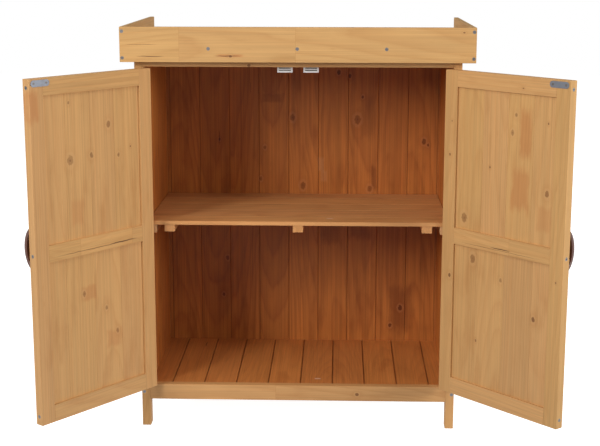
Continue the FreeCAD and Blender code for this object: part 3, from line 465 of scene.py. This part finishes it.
def wood_material(name, wood):
    """The material of a timber or panel."""
    look = LOOKS[wood.family]
    material = bpy.data.materials.new(name)
    material.use_nodes = True
    graph = Graph(material.node_tree)
    shader = material.node_tree.nodes["Principled BSDF"]
    board = board_space(graph, wood)
    along, across, _ = graph.split(board)
    cell, middle = panel_cell(graph, board, wood)
    push, ring, core, halo = add_knots(graph, board, wood.knots)
    crack = add_cracks(graph, board, wood.cracks)
    ends = end_joints(graph, along, wood.lengths)
    grain = use_group(graph, GRAIN, Board=board, Seed=wood.seed, Middle=middle, Ring_Width=wood.ring,
                      Push=push, Cell=cell)
    latewood = graph.times(grain["Latewood"], graph.range(grain["Streak"], -1.0, 1.0, 0.45, 1.0))

    # inner faces of wall boards get painted interior shade, outer faces the doors' colours
    pair = base_pair(graph, board, wood, look)
    dark = pair[1]
    tint = figured(graph, grain, latewood, board_tone(graph, cell, wood), pair, look)
    tint = add_patches(graph, board, tint, wood.patches)
    tint = graph.mix(graph.times(grain["Fleck"], 0.25), tint, dark)
    tint = graph.mix(graph.times(halo, 0.35), tint, dark)
    tint = graph.mix(graph.times(ring, 0.40), tint, look.knot)
    tint = graph.mix(graph.times(core, 0.9), tint, look.core)
    tint = graph.mix(graph.times(ends, 0.45), tint, look.dark)
    # painted shade, with some dust, along the joints between boards
    if look.seam:
        seam = painted_seam_shade(graph, across, wood, look.seam * MILLIMETRE)
        tint = graph.mix(graph.times(seam, 0.5), tint, look.core)
    tint = graph.mix(graph.times(crack, 0.8), tint, CRACK_BROWN)
    graph.put(shader.inputs["Base Color"], tint)

    relief = graph.add(graph.times(latewood, 0.35), graph.times(grain["Fibre"], 0.3),
                       graph.times(core, 0.3), graph.times(crack, -3.0), graph.times(ends, -0.7))
    polish(graph, shader, latewood, grain["Fibre"], relief)
    return material


class Look:
    """Colours of a family of timbers, and how strongly their figure shows."""

    def __init__(self, pale, dark, knot, core, rings=0.45, figure=0.10, patches=0.35, seam=0.0):
        self.pale = colour(*pale)     # earlywood
        self.dark = colour(*dark)     # latewood, stains and patches
        self.knot = colour(*knot)     # pale ring round a knot
        self.core = colour(*core)     # heart of a knot, and joints between boards
        self.rings = rings            # how far latewood darkens
        self.figure = figure          # streaks and fine lines
        self.patches = patches        # soft stained patches
        self.seam = seam              # half width of the dark joints between boards, painted shade with some dust, in mm


OUTSIDE_KNOT, OUTSIDE_CORE = (218, 176, 122), (96, 52, 26)
# inside knot colours are darker and redder than the outside ones: painted shade of the cabinet's interior
INSIDE_KNOT, INSIDE_CORE = (206, 142, 92), (80, 32, 11)
LOOKS = {
    "rim": Look((199, 156, 95), (175, 124, 66), OUTSIDE_KNOT, OUTSIDE_CORE, figure=0.15),
    "frame": Look((208, 157, 97), (178, 119, 62), OUTSIDE_KNOT, OUTSIDE_CORE, figure=0.13),
    "door": Look((212, 164, 102), (186, 126, 67), OUTSIDE_KNOT, OUTSIDE_CORE, rings=0.32, figure=0.15),
    # wall, floor and shelf colours are darker and redder than the doors': painted shade and painted
    # reddish bounce light of the cabinet's interior
    "wall": Look((186, 113, 50), (134, 66, 22), INSIDE_KNOT, INSIDE_CORE, rings=0.5, figure=0.30,
                 patches=0.45, seam=0.9),
    "floor": Look((196, 125, 62), (157, 87, 38), INSIDE_KNOT, INSIDE_CORE, rings=0.4, figure=0.20,
                  seam=2.2),
    "shelf": Look((208, 150, 90), (170, 104, 52), INSIDE_KNOT, INSIDE_CORE, rings=0.4, figure=0.20,
                  seam=1.3),
    "hidden": Look((208, 160, 106), (176, 120, 70), OUTSIDE_KNOT, OUTSIDE_CORE),
}
PINK = (0.97, 0.935, 1.05, 1.0)
CRACK_BROWN = colour(48, 22, 10)
ORANGE = colour(186, 112, 58)
RUST = colour(96, 40, 14)
PALE_MARK = colour(214, 160, 112)
SCUFF = colour(232, 200, 176)


def low(node):
    """Lowest corner of a CAD node."""
    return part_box(node)[0]


def mid(node, axis):
    """Middle of a CAD node along one axis."""
    lowest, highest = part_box(node)
    return (lowest[axis] + highest[axis]) / 2


BOARD_PITCH = 0.077    # board to board in the walls and floor
SHELF_FIRST, SHELF_PITCH = 0.062, 0.080
# brightness and pinkness of each back board, and marks placed along and across the grain, as in Wood
BACK_TONES = ((0.9, 0.2), (0.98, 0.2), (0.94, 0.1), (1.0, 0.2), (0.99, 0.3), (1.04, 0.3), (1.0, 0.2),
              (0.98, 0.5), (0.95, 0.6), (1.0, 0.3), (0.9, 0.2))
BACK_KNOTS = (
    (0.620, -0.098, 4.0, 0.25), (0.698, -0.026, 7.0, 0.30), (0.537, -0.109, 4.5, 0.25),
    (0.520, 0.001, 7.5, 0.30), (0.512, 0.175, 6.5, 0.30), (0.693, 0.142, 9.0, 0.30),
    (0.815, 0.093, 5.0, 0.90), (0.806, 0.121, 4.5, 0.90), (0.752, 0.155, 3.5, 0.70),
    (0.637, 0.314, 6.0, 0.60), (0.628, 0.325, 3.5, 0.60), (0.324, -0.198, 5.0, 0.50),
    (0.224, -0.209, 4.0, 0.70), (0.191, 0.260, 6.0, 0.80), (0.143, 0.234, 4.5, 0.80),
    (0.640, -0.216, 3.0, 0.90),
)
BACK_PATCHES = (
    (0.575, 0.048, 0.020, 0.009, PALE_MARK, 0.20), (0.545, 0.055, 0.016, 0.010, PALE_MARK, 0.16),
    (0.748, -0.078, 0.012, 0.030, RUST, 0.35), (0.185, 0.262, 0.070, 0.034, RUST, 0.40),
    (0.400, 0.075, 0.040, 0.030, RUST, 0.30), (0.420, 0.150, 0.045, 0.030, RUST, 0.35),
    (0.540, 0.186, 0.035, 0.008, RUST, 0.40), (0.700, 0.170, 0.060, 0.020, RUST, 0.25))
BACK_CRACKS = ((0.645, -0.2165, 0.024, 1.0), (0.775, -0.135, 0.020, 0.6))
RIM_KNOTS = ((0.372, 0.941, 2.2, 0.8), (-0.150, 0.887, 3.0, 0.8))
RIM_CRACKS = ((-0.351, 0.9125, 0.043, 0.4), (-0.331, 0.886, 0.036, 0.9), (-0.157, 0.8875, 0.036, 1.1))
RIM_PATCHES = ((-0.15, 0.888, 0.036, 0.004, ORANGE, 0.5),)


def cabinet_woods():
    """Wood of each timber and panel of the cabinet, by node."""
    woods = {
        "front_rim_board": Wood("xzy", 3.0, "rim", ring=4.6, lengths=(-0.266, -0.004), centre=0.90,
                                knots=RIM_KNOTS, cracks=RIM_CRACKS, patches=RIM_PATCHES),
        "left_rim_board": Wood("yzx", 5.0, "rim", centre=0.91),
        "right_rim_board": Wood("yzx", 8.0, "rim", centre=0.91),
        "front_left_leg": Wood("zxy", 12.0, "frame", centre=-0.36),
        "front_right_leg": Wood("zxy", 14.0, "frame", centre=0.36),
        "back_left_leg": Wood("zyx", 16.0, "frame", centre=0.19),
        "back_right_leg": Wood("zyx", 18.0, "frame", centre=0.19),
        "front_top_rail": Wood("xzy", 21.0, "frame", centre=0.877, knots=((-0.111, 0.864, 3.5, 0.9),)),
        "front_bottom_rail": Wood("xzy", 22.0, "frame", centre=0.085, lengths=(-0.052,),
                                  knots=((0.142, 0.083, 4.0, 0.8),)),
        "back_top_rail": Wood("xzy", 24.0, "frame", centre=0.877),
        "back_bottom_rail": Wood("xzy", 25.0, "frame", centre=0.085),
        "back_boards": Wood("zxy", 31.0, "wall", outer=0.184,
                            boards=(low("back_boards").x + 0.009, BOARD_PITCH),
                            tones=BACK_TONES, knots=BACK_KNOTS, patches=BACK_PATCHES, cracks=BACK_CRACKS),
        "left_side_boards": Wood("zyx", 41.0, "wall", outer=0.357,
                                 boards=(low("left_side_boards").y + 0.045, BOARD_PITCH)),
        "right_side_boards": Wood("zyx", 43.0, "wall", outer=0.357,
                                  boards=(low("right_side_boards").y + 0.045, BOARD_PITCH)),
        "floor_boards": Wood("yxz", 51.0, "floor", boards=(low("floor_boards").x + 0.051, BOARD_PITCH),
                             cracks=((0.130, -0.252, 0.026, 1.6),),
                             patches=((-0.145, 0.047, 0.004, 0.008, SCUFF, 0.6),)),
        "floor_bearers": Wood("xzy", 53.0, "hidden", centre=0.08),
        "shelf_battens": Wood("yxz", 55.0, "shelf", boards=(-0.15, 0.3)),
        "shelf_ledgers": Wood("yzx", 57.0, "hidden", centre=0.48),
        "worktop_planks": Wood("xyz", 61.0, "hidden", boards=(low("worktop_planks").y, 0.0945)),
        "worktop_battens": Wood("yxz", 63.0, "hidden", boards=(-0.1, 0.2)),
        "catch_block": Wood("xzy", 65.0, "frame", centre=0.87),
    }
    shelf_joints = (low("shelf_board_1").y + SHELF_FIRST, SHELF_PITCH)
    for number in range(1, 6):
        node = "shelf_board_%d" % number
        scuffs = ((0.075, -0.144, 0.008, 0.004, SCUFF, 0.6),) if number == 1 else ()
        woods[node] = Wood("xyz", 70.0, "shelf", boards=shelf_joints, patches=scuffs)
    for side in ("left", "right"):
        for level in ("top", "bottom"):
            node = "%s_side_%s_rail" % (side, level)
            woods[node] = Wood("yzx", 90.0 + len(woods), "frame", centre=mid(node, 2))
    return woods


# first joint from the hinge pin, and board to board, in a door's panels; and the height between them
UPPER_PANEL, LOWER_PANEL = (0.11275, 0.071), (0.10375, 0.0805)
PANELS_MEET = 0.4835
# marks of each door, by piece: how high, how far from the hinge pin, then as in Wood
DOOR_KNOTS = {
    "left": {
        "boards": ((0.744, 0.129, 6.0, 0.40), (0.677, 0.242, 9.0, 0.15), (0.681, 0.181, 5.0, 0.35),
                   (0.673, 0.101, 4.0, 0.30), (0.688, 0.064, 2.0, 0.95), (0.801, 0.242, 3.0, 0.30),
                   (0.375, 0.215, 5.0, 0.20), (0.330, 0.150, 4.0, 0.25), (0.270, 0.118, 4.5, 0.20)),
    },
    "right": {
        "boards": ((0.653, 0.135, 2.0, 0.90), (0.765, 0.293, 2.2, 0.70), (0.529, 0.063, 9.0, 0.30),
                   (0.736, 0.196, 5.0, 0.15), (0.775, 0.205, 4.0, 0.20), (0.615, 0.296, 6.0, 0.45),
                   (0.439, 0.092, 8.0, 0.35), (0.335, 0.272, 5.0, 0.80), (0.250, 0.108, 2.5, 0.50),
                   (0.404, 0.176, 4.0, 0.20)),
        "hinge_stile": ((0.669, 0.019, 2.6, 0.70), (0.745, 0.023, 2.0, 0.50), (0.389, 0.027, 4.0, 0.80)),
        "free_stile": ((0.430, 0.333, 1.6, 0.90),),
        "top_rail": ((0.834, 0.226, 1.6, 0.90),),
    },
}
DOOR_PATCHES = {
    "left": {
        "boards": ((0.375, 0.200, 0.018, 0.022, ORANGE, 0.35), (0.255, 0.130, 0.022, 0.024, ORANGE, 0.30),
                   (0.560, 0.225, 0.030, 0.020, ORANGE, 0.25)),
        "free_stile": ((0.800, 0.340, 0.035, 0.014, ORANGE, 0.45),),
    },
    "right": {
        "boards": ((0.740, 0.234, 0.055, 0.018, ORANGE, 0.45), (0.615, 0.222, 0.050, 0.026, ORANGE, 0.45),
                   (0.560, 0.290, 0.030, 0.020, ORANGE, 0.25)),
    },
}
DOOR_CRACKS = {"left": {"middle_rail": ((0.476, 0.098, 0.050, 1.2), (0.4745, 0.175, 0.137, 0.7))},
               "right": {"middle_rail": ((0.4755, 0.176, 0.034, 1.3), (0.472, 0.175, 0.137, 0.5))}}
DOOR_LENGTHS = {"left": (0.070, 0.225), "right": (0.201,)}


def door_woods(side, hand):
    """Wood of each timber of a door, by node, in the closed door's own place."""
    joint = side + "_door_hinge"
    hinge_x = JOINTS[joint]["pos_m"][0]

    def at(from_pin):
        return hinge_x + hand * from_pin

    def marks(table, piece, upright=True):
        """Marks of one piece, with the distance from the pin turned in to a place."""
        found = []
        for high, from_pin, *rest in table[side].get(piece, ()):
            found.append((high, at(from_pin), *rest) if upright else (at(from_pin), high, *rest))
        return found

    seed = 100.0 if side == "left" else 140.0
    label = side + "_door_"
    upright = {"hinge_stile": at(0.019), "free_stile": at(0.333)}
    level = {"top_rail": 0.84, "middle_rail": PANELS_MEET, "bottom_rail": 0.126}
    woods = {}
    for number, (piece, centre) in enumerate(upright.items()):
        woods[label + piece] = Wood("zxy", seed + 3 * number, "door", centre=centre, door=joint,
                                    knots=marks(DOOR_KNOTS, piece), patches=marks(DOOR_PATCHES, piece))
    for number, (piece, centre) in enumerate(level.items()):
        lengths = [at(place) for place in DOOR_LENGTHS[side]] if piece == "middle_rail" else ()
        woods[label + piece] = Wood("xzy", seed + 11 + 3 * number, "door", centre=centre, door=joint,
                                    lengths=lengths, knots=marks(DOOR_KNOTS, piece, upright=False),
                                    cracks=marks(DOOR_CRACKS, piece, upright=False))
    upper_first, upper_pitch = UPPER_PANEL
    lower_first, lower_pitch = LOWER_PANEL
    woods[label + "boards"] = Wood(
        "zxy", seed + 25, "door", door=joint, boards=(at(upper_first), upper_pitch),
        lower_boards=(PANELS_MEET, at(lower_first), lower_pitch),
        knots=marks(DOOR_KNOTS, "boards"), patches=marks(DOOR_PATCHES, "boards"))
    return woods


def soften(node, width):
    """Ease the arrises of a timber; the shallower rims of its screw holes stay as they are."""
    weld = node.modifiers.new("weld", "WELD")
    weld.merge_threshold = 0.01 * MILLIMETRE
    bevel = node.modifiers.new("eased_arris", "BEVEL")
    bevel.width = width * MILLIMETRE
    bevel.segments = 2
    bevel.limit_method = "ANGLE"
    bevel.angle_limit = math.radians(60)
    bevel.use_clamp_overlap = False
    node.modifiers.new("flat_faces", "WEIGHTED_NORMAL").keep_sharp = False


def dress(node_name, material):
    """Give a CAD node its material."""
    node = NODES[node_name]
    node.data.materials.clear()
    node.data.materials.append(material)
    return node


def dress_timber():
    """Material for every timber, and eased arrises for all but the boarded panels and shelf boards."""
    woods = cabinet_woods()
    woods.update(door_woods("left", 1))
    woods.update(door_woods("right", -1))
    for name, wood in woods.items():
        node = dress(name, wood_material("wood_" + name, wood))
        if not name.endswith("_boards") and "shelf_board_" not in name:
            soften(node, 0.8)


# ---------------------------------------------------------------- fittings

def fitting_material(name, base, metallic, roughness, wear=0.1):
    """Metal or plastic with slight mottling, scuffs and an uneven polish."""
    material = bpy.data.materials.new(name)
    material.use_nodes = True
    graph = Graph(material.node_tree)
    shader = material.node_tree.nodes["Principled BSDF"]
    place = graph.node("ShaderNodeTexCoord").outputs["Object"]
    fine = graph.signed(graph.vector("MULTIPLY", place, (900.0, 900.0, 900.0)), 3.0)
    broad = graph.signed(graph.vector("MULTIPLY", place, (90.0, 90.0, 90.0)), 2.0)
    level = graph.add(1.0, graph.times(fine, wear * 0.5), graph.times(broad, wear))
    graph.put(shader.inputs["Base Color"],
              graph.mix(1.0, base, graph.combine(level, level, level), "MULTIPLY"))
    shader.inputs["Metallic"].default_value = metallic
    graph.put(shader.inputs["Roughness"],
              graph.add(roughness, graph.times(fine, 0.06), graph.times(broad, 0.05)))
    relief = graph.node("ShaderNodeBump")
    relief.inputs["Strength"].default_value = 0.1
    relief.inputs["Distance"].default_value = 0.1 * MILLIMETRE
    graph.put(relief.inputs["Height"], fine)
    graph.put(shader.inputs["Normal"], relief.outputs[0])
    return material


def dress_fittings():
    """Screws, hinges, catches, strike plates and handles."""
    zinc = fitting_material("zinc", colour(128, 125, 124), 1.0, 0.45)
    strike = fitting_material("blue_zinc", colour(138, 146, 158), 1.0, 0.38)
    yellow = fitting_material("yellow_zinc", colour(205, 165, 120), 0.6, 0.45)
    pole = fitting_material("pole_steel", colour(70, 66, 62), 1.0, 0.45)
    magnet = fitting_material("magnet", colour(45, 42, 42), 0.2, 0.6)
    white = fitting_material("catch_plastic", colour(226, 224, 222), 0.0, 0.42, wear=0.03)
    brown = fitting_material("handle_plastic", colour(88, 46, 28), 0.0, 0.3, wear=0.08)
    dressed = {
        "frame_screws": zinc, "fitting_screws": zinc, "hinge_frame_leaves": zinc, "hinge_pins": zinc,
        "catch_mounting_plates": yellow, "catch_pole_plates": pole, "catch_magnets": magnet,
        "left_catch_body": white, "right_catch_body": white,
    }
    for side in ("left", "right"):
        dressed["%s_door_screws" % side] = zinc
        dressed["%s_door_hinge_leaves" % side] = zinc
        dressed["%s_door_strike_plate" % side] = strike
        dressed["%s_door_handle" % side] = brown
    for name, material in dressed.items():
        dress(name, material)


# ---------------------------------------------------------------- studio and camera

def add_camera():
    """The photographer's place: a little right of centre and above the worktop, turned down and left."""
    camera = bpy.data.objects.new("camera", bpy.data.cameras.new("camera"))
    bpy.context.scene.collection.objects.link(camera)
    camera.data.sensor_width = 36.0
    camera.data.lens = 77.67
    camera.location = (0.0982, -3.1518, 1.1117)
    turn_left, tip_down, roll = 0.03141, 0.20483, 0.00125
    camera.rotation_euler = (Matrix.Rotation(turn_left, 3, "Z")
                             @ Matrix.Rotation(math.pi / 2 - tip_down, 3, "X")
                             @ Matrix.Rotation(roll, 3, "Z")).to_euler()
    bpy.context.scene.camera = camera


def add_softbox(name, place, target, width, power):
    """A large square area light that faces its target."""
    light = bpy.data.lights.new(name, "AREA")
    light.shape = "SQUARE"
    light.size = width
    light.energy = power
    softbox = bpy.data.objects.new(name, light)
    softbox.location = place
    softbox.rotation_euler = (Vector(target) - Vector(place)).to_track_quat("-Z", "Y").to_euler()
    bpy.context.scene.collection.objects.link(softbox)


def add_world():
    """White to the camera, and a dimmer even light on the object."""
    world = bpy.data.worlds.new("studio")
    bpy.context.scene.world = world
    world.use_nodes = True
    tree = world.node_tree
    tree.nodes.clear()
    seen = tree.nodes.new("ShaderNodeBackground")
    seen.inputs["Strength"].default_value = 1.0
    seen.inputs["Color"].default_value = (1.0, 1.0, 1.0, 1.0)
    lights = tree.nodes.new("ShaderNodeBackground")
    lights.inputs["Strength"].default_value = 0.17
    lights.inputs["Color"].default_value = (1.0, 1.0, 1.0, 1.0)
    path = tree.nodes.new("ShaderNodeLightPath")
    mix = tree.nodes.new("ShaderNodeMixShader")
    output = tree.nodes.new("ShaderNodeOutputWorld")
    tree.links.new(path.outputs["Is Camera Ray"], mix.inputs[0])
    tree.links.new(lights.outputs[0], mix.inputs[1])
    tree.links.new(seen.outputs[0], mix.inputs[2])
    tree.links.new(mix.outputs[0], output.inputs[0])


def add_floor():
    """A plain pale floor, lit from within like a light table; it gives the object no diffuse light."""
    half = 9.0
    mesh = bpy.data.meshes.new("floor")
    corners = [(-half, -half, 0.0), (half, -half, 0.0), (half, half, 0.0), (-half, half, 0.0)]
    mesh.from_pydata(corners, [], [(0, 1, 2, 3)])
    floor = bpy.data.objects.new("floor", mesh)
    floor.location.z = -0.5 * MILLIMETRE
    bpy.context.scene.collection.objects.link(floor)
    material = bpy.data.materials.new("pale_floor")
    material.use_nodes = True
    shader = material.node_tree.nodes["Principled BSDF"]
    shader.inputs["Base Color"].default_value = (0.6, 0.6, 0.6, 1.0)
    shader.inputs["Roughness"].default_value = 0.85
    shader.inputs["Emission Color"].default_value = (1.0, 1.0, 1.0, 1.0)
    shader.inputs["Emission Strength"].default_value = 0.95
    mesh.materials.append(material)
    floor.visible_diffuse = False


def build_studio():
    """Camera, lights, world and floor."""
    bpy.context.scene.view_settings.view_transform = "Standard"
    add_camera()
    add_world()
    add_floor()
    middle = (0.0, 0.0, 0.5)
    add_softbox("key_left", (-2.15, -2.85, 1.9), middle, 1.3, 84.0)
    add_softbox("key_right", (3.35, -2.0, 1.3), middle, 1.4, 90.0)
    add_softbox("overhead_front", (0.0, -2.75, 3.05), middle, 1.6, 26.0)
    add_softbox("back_left", (-2.4, 3.0, 2.4), middle, 1.6, 40.0)
    add_softbox("back_right", (2.4, 3.0, 2.4), middle, 1.6, 40.0)


build_studio()
dress_timber()
dress_fittings()
